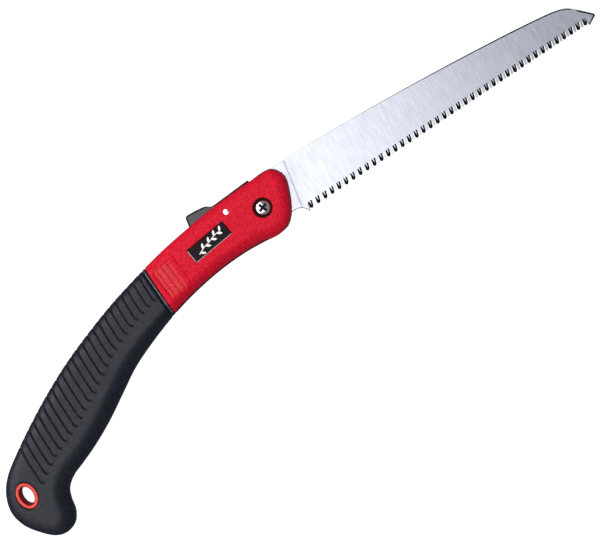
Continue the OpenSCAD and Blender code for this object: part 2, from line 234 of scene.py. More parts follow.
def inside(points, loop):
    """Which of the points lie inside the loop."""
    x, y = points[:, 0], points[:, 1]
    hit = np.zeros(len(points), bool)
    for (ax, ay), (bx, by) in zip(loop, np.roll(loop, -1, 0)):
        if ay == by:
            continue
        across = (ay > y) != (by > y)
        hit ^= across & (x < (bx - ax) * (y - ay) / (by - ay) + ax)
    return hit


CHUNK = 2000


def nearest(points, loop):
    """Distance to the loop, the nearest point on it, and the nearest of its own points."""
    best = np.zeros((len(points), 2))
    gap = np.full(len(points), np.inf)
    index = np.zeros(len(points), int)
    for start in range(0, len(points), CHUNK):
        rows = slice(start, start + CHUNK)
        part = points[rows]
        j = ((part[:, None] - loop[None]) ** 2).sum(2).argmin(1)
        index[rows] = j
        for k in (-1, 0):
            a = loop[(j + k) % len(loop)]
            b = loop[(j + k + 1) % len(loop)]
            t = ((part - a) * (b - a)).sum(1) / ((b - a) ** 2).sum(1)
            q = a + np.clip(t, 0, 1)[:, None] * (b - a)
            d = np.hypot(*(part - q).T)
            closer = d < gap[rows]
            gap[rows][closer] = d[closer]
            best[rows][closer] = q[closer]
    return gap, best, index


def smooth(x, low, high):
    """0 below low, 1 above high, with a soft start and end between."""
    t = np.clip((x - low) / (high - low), 0, 1)
    return t * t * (3 - 2 * t)


def seg_line(p, a, b):
    """Signed distance from a line through a and b, positive on its left."""
    ax, ay = a
    bx, by = b
    n = math.hypot(bx - ax, by - ay)
    return ((bx - ax) * (p[:, 1] - ay) - (by - ay) * (p[:, 0] - ax)) / n


# ---------------------------------------------------------------- meshes
def placed(points):
    """Points in mm in the design frame, as metres in the row's frame."""
    return (np.asarray(points, float) + PIVOT) * MM


def new_piece(name, points, faces, material=None, places=None):
    """Mesh object from points in mm; places gives a material number for each face."""
    mesh = bpy.data.meshes.new(name)
    mesh.from_pydata(placed(points).tolist(), [], [list(map(int, f)) for f in faces])
    mesh.validate()
    obj = bpy.data.objects.new(name, mesh)
    bpy.context.scene.collection.objects.link(obj)
    for m in material if isinstance(material, (list, tuple)) else [material]:
        if m is not None:
            mesh.materials.append(m)
    if places is not None:
        mesh.polygons.foreach_set("material_index", places)
    return obj


def soften(obj, angle):
    """Smooth shading, with edges sharper than the angle in degrees left sharp."""
    obj.data.shade_smooth()
    obj.data.set_sharp_from_angle(angle=math.radians(angle))


def settle(obj):
    """Applies the object's modifiers."""
    dg = bpy.context.evaluated_depsgraph_get()
    mesh = bpy.data.meshes.new_from_object(obj.evaluated_get(dg))
    obj.modifiers.clear()
    old = obj.data
    obj.data = mesh
    bpy.data.meshes.remove(old)
    mesh.name = obj.name


def cut(obj, *cutters):
    """Takes the cutters away from the piece, and deletes them."""
    for c in cutters:
        m = obj.modifiers.new("cut", "BOOLEAN")
        m.object = c
        m.operation = "DIFFERENCE"
        m.solver = "MANIFOLD"
    settle(obj)
    for c in cutters:
        mesh = c.data
        bpy.data.objects.remove(c)
        bpy.data.meshes.remove(mesh)


def side_faces(layers, n):
    """Quads between layers of n points each."""
    i = np.arange(n)
    j = (i + 1) % n
    quads = [np.column_stack([k * n + i, k * n + j, (k + 1) * n + j, (k + 1) * n + i])
             for k in range(layers - 1)]
    return np.concatenate(quads).tolist()


def fill(rings, extra):
    """Triangles inside the first ring and outside the others, through the extra points too.

    They are numbers into the points of all rings followed by the extra ones.
    """
    every = np.vstack([*rings, extra])
    edges = []
    for ring in rings:
        first = len(edges)
        edges += [(first + i, first + (i + 1) % len(ring)) for i in range(len(ring))]
    out = delaunay_2d_cdt([tuple(p) for p in every], edges, [], 1, 1e-6)
    found, origin = out[2], out[3]
    triangles = np.array([[origin[i][0] for i in t] for t in found])
    centre = every[triangles].mean(1)
    keep = np.ones(len(triangles), bool)
    for hole in rings[1:]:
        keep &= ~inside(centre, hole)
    return triangles[keep]


def stack(name, loops, material=None):
    """Closed solid through loops of equally many points, from the lowest to the highest."""
    n = len(loops[0])
    faces = [list(range(n))[::-1], [(len(loops) - 1) * n + i for i in range(n)]]
    faces += side_faces(len(loops), n)
    obj = new_piece(name, np.concatenate(loops), faces, material)
    bm = bmesh.new()
    bm.from_mesh(obj.data)
    bmesh.ops.triangulate(bm, faces=[f for f in bm.faces if len(f.verts) > 4])
    bm.to_mesh(obj.data)
    bm.free()
    return obj


def at_height(loop, z):
    return np.column_stack([loop, np.full(len(loop), float(z))])


def prism(name, loop, steps, material=None):
    """Solid over a polygon; steps are (z, inset) pairs from the lowest to the highest."""
    return stack(name, [at_height(inset(loop, d), z) for z, d in steps], material)


def lathe(name, profile, centre=(0, 0), material=None, count=96):
    """Solid of revolution about a z axis; profile runs from the lowest to the highest z."""
    return stack(name, [at_height(circle(r, count, centre), z) for r, z in profile], material)


def join(name, objs):
    """One piece from several, with its materials side by side."""
    target = objs[0]
    bm = bmesh.new()
    mats = []
    for o in objs:
        for m in o.data.materials:
            if m not in mats:
                mats.append(m)
        lookup = [mats.index(m) for m in o.data.materials]
        count = len(bm.faces)
        bm.from_mesh(o.data)
        for f in list(bm.faces)[count:]:
            f.material_index = lookup[f.material_index]
    mesh = bpy.data.meshes.new(name)
    bm.to_mesh(mesh)
    bm.free()
    for m in mats:
        mesh.materials.append(m)
    for o in objs[1:]:
        bpy.data.objects.remove(o)
    target.data = mesh
    target.name = name
    return target


def paint(obj, materials, choose):
    """Gives each face the material that choose(centres in mm, normals) numbers."""
    mesh = obj.data
    mesh.materials.clear()
    for m in materials:
        mesh.materials.append(m)
    centre, normal = np.empty(3 * len(mesh.polygons)), np.empty(3 * len(mesh.polygons))
    mesh.polygons.foreach_get("center", centre)
    mesh.polygons.foreach_get("normal", normal)
    numbers = choose(centre.reshape(-1, 3) / MM - PIVOT, normal.reshape(-1, 3))
    mesh.polygons.foreach_set("material_index", numbers.astype(np.int32))


def hand_over(obj, body, slot, *nodes):
    """Puts the piece on its body, in the place of the CAD nodes; slot is not used."""
    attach(obj, body)
    if nodes:
        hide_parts(*nodes)


# ---------------------------------------------------------------- materials
class Surface:
    """A Principled material whose colour, roughness and bump come from noise in mm."""

    def __init__(self, name, roughness, metallic=0.0, specular=0.5):
        self.material = bpy.data.materials.new(name)
        self.material.use_nodes = True
        self.tree = self.material.node_tree
        self.bsdf = self.tree.nodes["Principled BSDF"]
        self.bsdf.inputs["Metallic"].default_value = metallic
        self.bsdf.inputs["Roughness"].default_value = roughness
        self.bsdf.inputs["Specular IOR Level"].default_value = specular
        self.coord = self.tree.nodes.new("ShaderNodeTexCoord")
        self.normal = None

    def link(self, a, b):
        self.tree.links.new(a, b)

    def noise(self, size, detail=2.0, stretch=(1, 1, 1), distortion=0.0, turn=0.0):
        """Noise with blobs of about size mm, longer along an axis by stretch."""
        mapping = self.tree.nodes.new("ShaderNodeMapping")
        mapping.inputs["Rotation"].default_value = (0, 0, turn)
        mapping.inputs["Scale"].default_value = [1 / (size * MM * s) for s in stretch]
        self.link(self.coord.outputs["Object"], mapping.inputs["Vector"])
        n = self.tree.nodes.new("ShaderNodeTexNoise")
        n.inputs["Scale"].default_value = 1.0
        n.inputs["Detail"].default_value = detail
        n.inputs["Distortion"].default_value = distortion
        self.link(mapping.outputs["Vector"], n.inputs["Vector"])
        return n.outputs["Fac"]

    def colour(self, fac, low, high, span=(0.35, 0.65)):
        """Base colour from low to high where fac crosses the span."""
        r = self.tree.nodes.new("ShaderNodeValToRGB")
        for element, at, shade in zip(r.color_ramp.elements, span, (low, high)):
            element.position = at
            element.color = (*shade, 1)
        self.link(fac, r.inputs["Fac"])
        self.link(r.outputs["Color"], self.bsdf.inputs["Base Color"])
        return self

    def rough(self, fac, low, high):
        r = self.tree.nodes.new("ShaderNodeMapRange")
        r.inputs["From Min"].default_value = 0.3
        r.inputs["From Max"].default_value = 0.7
        r.inputs["To Min"].default_value = low
        r.inputs["To Max"].default_value = high
        self.link(fac, r.inputs["Value"])
        self.link(r.outputs["Result"], self.bsdf.inputs["Roughness"])
        return self

    def bump(self, fac, depth):
        """Bump of about depth mm; later bumps ride on earlier ones."""
        b = self.tree.nodes.new("ShaderNodeBump")
        b.inputs["Strength"].default_value = 1.0
        b.inputs["Distance"].default_value = depth * MM
        self.link(fac, b.inputs["Height"])
        if self.normal:
            self.link(self.normal, b.inputs["Normal"])
        self.normal = b.outputs["Normal"]
        self.link(self.normal, self.bsdf.inputs["Normal"])
        return self


def make_materials():
    m = {}
    s = Surface("red_shell", 0.46, specular=0.12)
    s.colour(s.noise(1.5, 3.0), (0.62, 0.001, 0.021), (0.94, 0.015, 0.047), (0.3, 0.7))
    s.rough(s.noise(2.0), 0.42, 0.52)
    s.bump(s.noise(1.3, 2.0), 0.20).bump(s.noise(0.4), 0.05)
    m["red"] = s.material

    # Painted sheen: a paler, glossier red on the ribbed panel stands in for the light on its ribs.
    s = Surface("red_panel_painted_sheen", 0.42, specular=0.25)
    s.colour(s.noise(1.5, 3.0), (0.62, 0.010, 0.028), (0.92, 0.036, 0.058), (0.3, 0.7))
    s.bump(s.noise(1.3, 2.0), 0.12).bump(s.noise(0.4), 0.04)
    m["panel"] = s.material

    s = Surface("grip_rubber", 0.45, specular=0.4)
    s.colour(s.noise(2.2, 3.0), (0.004, 0.005, 0.013), (0.012, 0.014, 0.031))
    s.rough(s.noise(3.0), 0.40, 0.50)
    s.bump(s.noise(1.1, 2.0), 0.12).bump(s.noise(0.4), 0.04)
    m["rubber"] = s.material

    # Painted highlight: a light grey, glossier rubber on the crest of the grip's lip, for the thin
    # bright line at the joint.
    s = Surface("grip_collar", 0.32, specular=1.0)
    s.colour(s.noise(2.2, 3.0), (0.11, 0.115, 0.12), (0.17, 0.175, 0.18))
    s.bump(s.noise(0.8, 2.0), 0.03)
    m["collar"] = s.material

    s = Surface("blade_steel", 0.3, metallic=1.0)
    streak = s.noise(0.9, 4.0, stretch=(1, 14, 14), distortion=0.4, turn=-0.06)
    s.colour(streak, (0.615, 0.635, 0.77), (0.765, 0.785, 0.915), (0.3, 0.7))
    s.rough(s.noise(0.7, 3.0, stretch=(1, 20, 20), turn=-0.06), 0.26, 0.36)
    s.bump(s.noise(0.25, 3.0, stretch=(1, 40, 40), turn=-0.06), 0.008)
    m["blade"] = s.material

    # Painted shade: near-black metal on the tooth faces and on the back and nose bevels of the
    # blade.
    s = Surface("bevels_painted_shade", 0.42, metallic=1.0)
    s.colour(s.noise(0.8), (0.004, 0.004, 0.005), (0.014, 0.014, 0.018))
    s.bump(s.noise(0.15, 2.0), 0.01)
    m["teeth"] = s.material

    s = Surface("bright_chrome", 0.1, metallic=1.0)
    s.colour(s.noise(1.5), (0.86, 0.87, 0.89), (0.93, 0.93, 0.94))
    s.rough(s.noise(0.6, 3.0), 0.06, 0.14)
    s.bump(s.noise(1.2), 0.008)
    m["chrome"] = s.material

    # Painted shade: near-black metal at the pivot, on the lock washer in the recess and inside the
    # screw's cross.
    s = Surface("recess_painted_shade", 0.6, metallic=1.0)
    s.colour(s.noise(0.6, 3.0), (0.010, 0.009, 0.009), (0.03, 0.027, 0.026))
    s.bump(s.noise(0.3, 2.0), 0.01)
    m["recess"] = s.material

    s = Surface("pin_steel", 0.22, metallic=1.0)
    s.colour(s.noise(0.6, 3.0), (0.80, 0.81, 0.83), (0.92, 0.92, 0.93))
    s.rough(s.noise(0.5, 3.0), 0.16, 0.28)
    s.bump(s.noise(0.2, 2.0), 0.006)
    m["pin"] = s.material

    s = Surface("screw_steel", 0.3, metallic=1.0)
    s.colour(s.noise(0.5, 3.0), (0.42, 0.42, 0.44), (0.60, 0.60, 0.62))
    s.rough(s.noise(0.4, 3.0), 0.24, 0.38)
    s.bump(s.noise(0.2, 2.0), 0.008)
    m["screw"] = s.material

    s = Surface("liner_steel", 0.5, metallic=1.0)
    s.colour(s.noise(1.0, 3.0, stretch=(8, 1, 1)), (0.018, 0.018, 0.021), (0.045, 0.045, 0.05))
    s.rough(s.noise(0.8, 3.0), 0.4, 0.6)
    s.bump(s.noise(0.3, 2.0, stretch=(6, 1, 1)), 0.01)
    m["liner"] = s.material

    s = Surface("spacer_nylon", 0.6, specular=0.3)
    s.colour(s.noise(1.5, 3.0), (0.016, 0.016, 0.018), (0.03, 0.03, 0.033))
    s.bump(s.noise(0.4, 2.0), 0.03)
    m["spacer"] = s.material

    s = Surface("lever_steel", 0.42, metallic=1.0)
    s.colour(s.noise(0.9, 3.0), (0.03, 0.03, 0.034), (0.07, 0.07, 0.078))
    s.rough(s.noise(0.8, 3.0), 0.34, 0.5)
    s.bump(s.noise(0.25, 2.0), 0.01)
    m["lever"] = s.material

    s = Surface("spring_steel", 0.28, metallic=1.0)
    s.colour(s.noise(0.8, 3.0, stretch=(10, 1, 1)), (0.38, 0.39, 0.42), (0.58, 0.59, 0.62))
    s.rough(s.noise(0.5, 3.0, stretch=(10, 1, 1)), 0.2, 0.36)
    s.bump(s.noise(0.2, 2.0, stretch=(10, 1, 1)), 0.006)
    m["spring"] = s.material

    s = Surface("washer_bronze", 0.35, metallic=1.0)
    s.colour(s.noise(0.8, 3.0), (0.46, 0.29, 0.12), (0.62, 0.42, 0.20))
    s.rough(s.noise(0.5, 3.0), 0.28, 0.42)
    s.bump(s.noise(0.25, 2.0), 0.008)
    m["bronze"] = s.material

    s = Surface("insert_brass", 0.32, metallic=1.0)
    s.colour(s.noise(0.8, 3.0), (0.62, 0.45, 0.16), (0.78, 0.60, 0.26))
    s.rough(s.noise(0.5, 3.0), 0.26, 0.4)
    s.bump(s.noise(0.25, 2.0), 0.008)
    m["brass"] = s.material

    s = Surface("pad_plastic", 0.5, specular=0.2)
    s.colour(s.noise(1.4, 3.0), (0.090, 0.091, 0.102), (0.125, 0.126, 0.140))
    s.rough(s.noise(1.0, 3.0), 0.44, 0.56)
    s.bump(s.noise(0.5, 2.0), 0.05)
    m["pad"] = s.material

    # Near black: the thin strip's own black, and painted shade on the button's edges and on the
    # ledge along the shell's belly.
    s = Surface("black_and_painted_shade", 0.5, specular=0.15)
    s.colour(s.noise(1.4, 3.0), (0.006, 0.006, 0.007), (0.014, 0.014, 0.016))
    s.bump(s.noise(0.5, 2.0), 0.02)
    m["black_and_painted_shade"] = s.material

    s = Surface("plate_black", 0.4, specular=0.1)
    s.colour(s.noise(1.2, 3.0), (0.009, 0.004, 0.008), (0.021, 0.010, 0.018))
    s.rough(s.noise(0.8, 3.0), 0.34, 0.46)
    s.bump(s.noise(0.3, 2.0), 0.02)
    m["plate"] = s.material

    # Silver for the motif; on the nameplate's left and lower bevel it is a painted highlight.
    s = Surface("motif_silver_and_highlight", 0.35, metallic=0.6)
    s.colour(s.noise(0.6, 3.0), (0.78, 0.78, 0.79), (0.92, 0.92, 0.92))
    s.rough(s.noise(0.4, 3.0), 0.3, 0.42)
    s.bump(s.noise(0.3, 2.0), 0.01)
    m["silver"] = s.material

    # Painted shade: a darker red for the inside of the eyelet's bore.
    s = Surface("eyelet_bore_painted_shade", 0.55, specular=0.15)
    s.colour(s.noise(1.6, 3.0), (0.30, 0.008, 0.011), (0.42, 0.014, 0.018))
    s.bump(s.noise(0.6, 2.0), 0.03)
    m["bore"] = s.material

    s = Surface("eyelet_red", 0.4, specular=0.45)
    s.colour(s.noise(1.6, 3.0), (0.92, 0.078, 0.066), (1.0, 0.12, 0.10))
    s.rough(s.noise(1.0, 3.0), 0.34, 0.46)
    s.bump(s.noise(0.6, 2.0), 0.02)
    m["eyelet"] = s.material
    return m


MAT = make_materials()
# The pivot lock washer gets the near-black recess material, painted shade at the bottom of the
# screw's recess.
NODE_MATERIALS = {
    "left_liner": "liner", "right_liner": "liner", "back_spacer": "spacer",
    "pivot_lock_washer": "recess", "left_pivot_washer": "bronze",
    "right_pivot_washer": "bronze", "stop_pin": "pin", "lock_lever": "lever",
    "lock_spring": "spring", "shell_inserts": "brass", "grip_inserts": "brass",
}
for node, key in NODE_MATERIALS.items():
    materials = frame["nodes"][node].data.materials
    materials.clear()
    materials.append(MAT[key])


# ---------------------------------------------------------------- handle halves
# The outline lies a little inside the CAD box. STEP counts along it in places of HANDLE_POINTS.
STEPS = 40
MARGIN = 0.03
OUTLINE = spline(HANDLE_POINTS, STEPS)
OUTLINE = OUTLINE + inward(OUTLINE) * MARGIN
STEP = np.arange(len(OUTLINE)) / STEPS
BELLY = np.interp(STEP, [17, 19, 34, 36.5], [0, 1, 1, 0])
SPINE = OUTLINE[(STEP >= 4) & (STEP < 13)]


class Rim:
    """Profile of the rounded rim at places on the outline; belly is 1 along the belly."""

    def __init__(self, x, belly):
        self.ledge = LEDGE * belly
        self.width = np.interp(x, EDGE_BLEND, [GRIP_EDGE, SHELL_EDGE]) - self.ledge
        self.foot = WALL + (LEDGE_HEIGHT - WALL) * belly
        self.rise = HALF - self.foot
        self.power = 1 + FLATNESS * belly

    def reach(self, cosine):
        """Distance from the outline where the rim's angle has this cosine."""
        return self.ledge + self.width * (1 - cosine**self.power)

    def cosine(self, reach):
        return np.clip(1 - (reach - self.ledge) / self.width, 0, 1) ** (1 / self.power)

    def place(self, base, inwards, cosine, depth):
        """Points of the rim over base, moved inwards along its normal by depth."""
        sine = np.sqrt(1 - cosine**2)
        flat = self.rise * np.maximum(sine, 0.02) ** (self.power - 1) * cosine
        up = self.width * np.maximum(cosine, 0.02) ** (self.power - 1) * sine
        out = np.column_stack([-inwards * flat[:, None], up])
        out /= np.linalg.norm(out, axis=1)[:, None]
        surface = np.column_stack([base, self.foot + self.rise * sine**self.power])
        return surface - out * depth[:, None]


def groove(t, left, right):
    """Saw-tooth groove: 1 at t = 0, down to 0 at left before it and at right behind it."""
    g = np.where(t < 0, 1 + t / left, 1 - t / right)
    return np.clip(g, 0, 1) ** 1.5


# A groove's lower end curls to the side; the lip is the grip's raised edge at the joint.
CURL = 3.6
CURL_SIDE = 2.2
GROOVE_DEPTH = 0.85
GROOVE_SIDES = (0.55, 1.7)
LIP = [
    (0, 1.6), (0.5, 0.9), (1.0, 0.35), (1.5, 0.06), (2.0, 0), (2.5, 0.08), (2.9, 0.4),
    (3.4, 1.2), (3.9, 0.7), (4.4, 0.15), (4.9, 0),
]
# The span behind the joint where the lip's crest is painted light grey as a highlight.
LIP_HIGHLIGHT = (1.7, 2.3)
DISH_DEPTH = 0.5
DISH = 1.22


def joint_distance(p):
    """Distance behind the joint, towards the butt."""
    return seg_line(p, JOINT[1], JOINT[0])


def grip_depth(p):
    """How deep the grip is carved: its grooves, its lip at the joint and the dish of the eyelet."""
    x, y = p[:, 0], p[:, 1]
    depth = np.zeros(len(p))
    for gx, gy in zip(GROOVE_X, GROOVE_END):
        near = np.abs(x - gx) < 5
        s = np.clip((gy + CURL - y[near]) / CURL, 0, 1.4)
        slope = 2 * CURL_SIDE * s / CURL
        t = (x[near] - gx - CURL_SIDE * s**2) / np.sqrt(1 + slope**2)
        fade = smooth(y[near], gy - 1.0, gy + 1.2)
        depth[near] = np.maximum(depth[near], GROOVE_DEPTH * fade * groove(t, *GROOVE_SIDES))
    depth += np.interp(joint_distance(p), *zip(*LIP))
    ring = np.hypot((x - EYELET[0]) / EYELET_SIZE[0], (y - EYELET[1]) / EYELET_SIZE[1])
    return depth + DISH_DEPTH * (1 - smooth(ring, 1.0, DISH))


RIBS = [(-91.6, 3.3), (-88.7, 3.8), (-84.4, 4.5), (-80, 5.2)]
RIB_LEAN = math.tan(math.radians(4.4))
RIB_END = -18.5
RIB_SIDES = (0.5, 2.4)
RIB_DEPTH = 0.75
PANEL_DEPTH = 0.32
BORDER = spline(
    [(-94, 7.9), (-85, 9.6), (-78, 10.7), (-74.6, 9.6), (-73.4, 6), (-72.6, -2), (-71.9, -14),
     (-72.6, -18)], 8, closed=False
)
BORDER_DEPTH = 0.6
BORDER_HALF = 0.85


def across_ribs(p):
    """Distance along x, straightened so that each rib keeps one value."""
    return p[:, 0] + (p[:, 1] - RIBS[0][1]) * RIB_LEAN


def shell_depth(p):
    """How deep the shell is carved: its edge at the joint, the ribbed panel and its border."""
    x, y = p[:, 0], p[:, 1]
    depth = np.interp(-joint_distance(p), [0, 0.3, 0.7, 1.1], [0.5, 0.2, 0.04, 0])
    across = across_ribs(p)
    starts = across_ribs(np.array(RIBS))
    first, last = starts[0], starts[-1]
    top = np.interp(across, [first, last], [RIBS[0][1], RIBS[-1][1]]) + 0.4
    ribs = np.zeros(len(p))
    for start in starts:
        ribs = np.maximum(ribs, groove(across - start, *RIB_SIDES))
    mask = smooth(across, first - 1.2, first - 0.4) * smooth(-across, -last - 2.6, -last - 0.6)
    mask *= smooth(-y, -top, 0.5 - top) * smooth(y, RIB_END - 1.2, RIB_END)
    depth += mask * (PANEL_DEPTH + RIB_DEPTH * ribs)
    low, high = BORDER.min(0) - BORDER_HALF, BORDER.max(0) + BORDER_HALF
    zone = ((p > low) & (p < high)).all(1)
    gap = nearest(p[zone], BORDER)[0]
    depth[zone] += BORDER_DEPTH * np.clip(1 - gap / BORDER_HALF, 0, 1) ** 1.3
    return depth


def grid(x0, x1, y0, y1, step):
    """Points in staggered rows."""
    x, y = np.meshgrid(np.arange(x0, x1, step), np.arange(y0, y1, step * 0.98))
    x = x + (np.arange(len(x)) % 2)[:, None] * step * 0.5
    return np.column_stack([x.ravel(), y.ravel()])


def oval(grow=0.0, scale=1.0, count=96):
    """Counter-clockwise points round the eyelet."""
    return circle(1, count) * (np.array(EYELET_SIZE) * scale + grow) + EYELET


def grip_points():
    """Points for the grip's face: a coarse grid, then finer ones along each groove and edge."""
    parts = [grid(-273, -94, -121, 10, 1.6)]
    for gx, gy in zip(GROOVE_X, GROOVE_END):
        top = np.interp(gx, SPINE[::-1, 0], SPINE[::-1, 1])
        for t in (-1.5, -0.75, -0.5, -0.3, -0.12, 0.0, 0.2, 0.5, 0.9, 1.35, 1.8, 2.4):
            rows = np.arange(gy - 1.5, top, 1.15)
            parts.append(np.column_stack([np.full(len(rows), gx + t), rows]))
        parts.append(grid(gx - 1.0, gx + 4.0, gy - 1.6, gy + CURL + 0.6, 0.3))
    (top_x, top_y), (low_x, low_y) = JOINT
    rows = np.arange(-31, 9, 1.0)
    line = np.column_stack([np.interp(rows, [low_y, top_y], [low_x, top_x]), rows])
    for s in np.arange(0, 5.2, 0.25):
        parts.append(line - (s, 0))
    for scale in np.arange(1.0, 1.3, 0.04):
        parts.append(oval(scale=scale, count=70))
    return parts


def shell_points():
    """Points for the shell's face: a coarse grid and a finer one over the ribbed panel."""
    return [grid(-98, 26, -23, 22, 1.4), grid(-97, -71, -21.5, 11, 0.34)]


def thin(parts, cell):
    """Points of all parts, where a later part clears earlier ones that stand too near."""
    taken = {}
    for part in parts:
        for p in part:
            taken[(round(p[0] / cell), round(p[1] / cell))] = p
    return np.array(list(taken.values()))


RING_ANGLES = np.radians([0, 7, 14, 21, 28, 35, 42])
WALL_SHARE = 0.45
GROOVED = (3.5, 12)
CELL = 0.22
CLEARANCE = 0.25


def half_handle(name, parts, depth, span):
    """Closed half of the handle with a rounded rim, carved inwards by depth(p)."""
    spacing = np.where((STEP > GROOVED[0]) & (STEP < GROOVED[1]), 0.36, 1.0)
    spacing[(OUTLINE[:, 0] < span[0]) | (OUTLINE[:, 0] > span[1])] = 3.0
    ring = resample(np.column_stack([OUTLINE, BELLY]), spacing)
    ring, belly = ring[:, :2], ring[:, 2]
    n = len(ring)
    normal = inward(ring)
    rim = Rim(ring[:, 0], belly)
    carved = ring + normal * (WALL_SHARE * depth(ring))[:, None]
    layers = [at_height(carved, LINER), at_height(carved, (LINER + LEDGE_HEIGHT) / 2)]
    layers.append(np.column_stack([carved, rim.foot - 0.3]))
    for a in RING_ANGLES:
        base = ring + normal * rim.reach(math.cos(a))[:, None]
        share = WALL_SHARE + (1 - WALL_SHARE) * min(1, a / RING_ANGLES[2])
        layers.append(rim.place(base, normal, np.full(n, math.cos(a)), share * depth(base)))

    last = math.cos(RING_ANGLES[-1])
    edge = ring + normal * rim.reach(last)[:, None]
    inner = thin(parts, CELL)
    inner = inner[inside(inner, edge)]
    gap, foot, index = nearest(inner, OUTLINE)
    keep = gap > Rim(foot[:, 0], BELLY[index]).reach(last) + CLEARANCE
    inner, gap, foot, index = inner[keep], gap[keep], foot[keep], index[keep]
    under = Rim(foot[:, 0], BELLY[index])
    top = under.place(inner, (inner - foot) / gap[:, None], under.cosine(gap), depth(inner))

    face = fill([edge], inner) + (len(layers) - 1) * n
    floor = fill([ring], np.zeros((0, 2)))[:, ::-1]
    faces = side_faces(len(layers), n) + face.tolist() + floor.tolist()
    return new_piece(name, np.vstack(layers + [top]), faces)


def box_cutter(corners, low, high):
    return prism("cutter", ccw(corners), [(low, 0), (high, 0)])


def joint_cutter(offset, far):
    """Clears everything from the joint to x = far."""
    (ax, ay), (bx, by) = JOINT
    top, low = ay + 20, by - 90
    return box_cutter([(ax + offset, top), (bx + offset, low), (far, low), (far, top)], 0, 14)


def bore(place):
    """Hole for a threaded insert."""
    return lathe("cutter", [(INSERT_BORE, 1), (INSERT_BORE, INSERT_TOP)], place, count=32)


def counterbore(place):
    """Hole for a side screw and its head."""
    return lathe(
        "cutter",
        [(1.6, 1), (1.6, 8.5), (3.1, 8.5), (3.2, 8.7), (3.2, 11.05), (3.35, 11.3), (3.7, 11.5),
         (3.9, 12.5)], place, count=48,
    )


def screw_cutters(side, screws):
    return [bore(p) if side == "left" else counterbore(p) for p in screws]


def to_right(obj):
    """Turns a left piece into its mirror image on the right."""
    centre = PIVOT[2] * MM
    for v in obj.data.vertices:
        v.co.z = 2 * centre - v.co.z
    obj.data.flip_normals()


def finish_half(obj, side, slot, node):
    if side == "right":
        to_right(obj)
    soften(obj, 42)
    hand_over(obj, "handle", slot, node)


def make_grip(side):
    rim = [(1, 0.1), (10.0, 0.1), (10.7, 0.25), (11.1, 0.55), (11.3, 0.9), (12.5, 1.2)]
    obj = half_handle(f"{side}_grip_rubber", grip_points(), grip_depth, (-275, -90))
    cut(
        obj,
        joint_cutter(-0.35, 300),
        stack("cutter", [at_height(oval(d), z) for z, d in rim]),
        *screw_cutters(side, GRIP_SCREWS),
    )

    def on_lip_highlight(p, normal):
        """1 on the crest of the lip behind the joint, painted light grey as a highlight."""
        back = joint_distance(p)
        return (back > LIP_HIGHLIGHT[0]) & (back < LIP_HIGHLIGHT[1]) & (normal[:, 2] > 0.2)

    paint(obj, [MAT["rubber"], MAT["collar"]], on_lip_highlight)
    finish_half(obj, side, "grip_rubber", f"{side}_grip")


def plate_loop(grow, radius):
    """Rounded rectangle of the nameplate, grown on all sides."""
    a, b = PLATE_SIZE[0] / 2 + grow, PLATE_SIZE[1] / 2 + grow
    return turned(rounded([(-a, -b), (a, -b), (a, b), (-a, b)], radius, 5), PLATE_ANGLE) + PLATE


def make_shell(side):
    obj = half_handle(f"{side}_shell_body", shell_points(), shell_depth, (-101, 30))
    cutters = [
        joint_cutter(0.0, -300),
        lathe(
            "cutter",
            [(PIVOT_BORE, 1), (PIVOT_BORE, RECESS_FLOOR), (RECESS - 0.3, RECESS_FLOOR),
             (RECESS - 0.07, RECESS_FLOOR + 0.1), (RECESS, RECESS_FLOOR + 0.4),
             (RECESS, 10.95), (RECESS + 0.07, 11.2), (RECESS + 0.25, 11.38),
             (RECESS + 0.55, 11.5), (RECESS + 0.85, 12.5)],
        ),
        lathe(
            "cutter",
            [(2.25, 1), (2.25, 11.0), (2.35, 11.25), (2.6, 11.45), (2.9, 11.52), (3, 12.5)],
            LEVER_PIN, count=48,
        ),
        prism("cutter", rounded(POCKET, 0.6), [(1, 0), (4.6, 0)]),
    ]
    if side == "left":
        cutters.append(prism("cutter", plate_loop(0.1, 0.9), [
            (PLATE_FLOOR, 0), (11.1, 0), (11.3, -0.1), (11.45, -0.3), (11.52, -0.55),
            (12.5, -0.6),
        ]))
    cut(obj, *cutters, *screw_cutters(side, SHELL_SCREWS))

    def on_shell(p, normal):
        """1 on the ribbed panel, painted a paler red as sheen; 2 on the ledge along the belly,
        painted near black as shade; 0 elsewhere.
        """
        across, y = across_ribs(p), p[:, 1]
        panel = (across > RIBS[0][0] - 0.4) & (across < RIBS[-1][0] + RIB_SIDES[1])
        numbers = (panel & (y < 4.5) & (y > RIB_END) & (normal[:, 2] > 0.2)).astype(int)
        # The ledge along the belly is painted near black as shade along the belly's edge.
        low = np.flatnonzero(p[:, 2] < LEDGE_HEIGHT + 0.05)
        index = nearest(p[low, :2], OUTLINE)[2]
        numbers[low[BELLY[index] > 0.5]] = 2
        return numbers

    paint(obj, [MAT["red"], MAT["panel"], MAT["black_and_painted_shade"]], on_shell)
    finish_half(obj, side, "red_shell", f"{side}_shell")


for make_part in (make_grip, make_shell):
    for side in ("left", "right"):
        make_part(side)


# ---------------------------------------------------------------- blade
FACE_NOTCH = (0.65, 3.3)
NOTCH_MIX = 0.4
EDGE_SHARE = 0.08


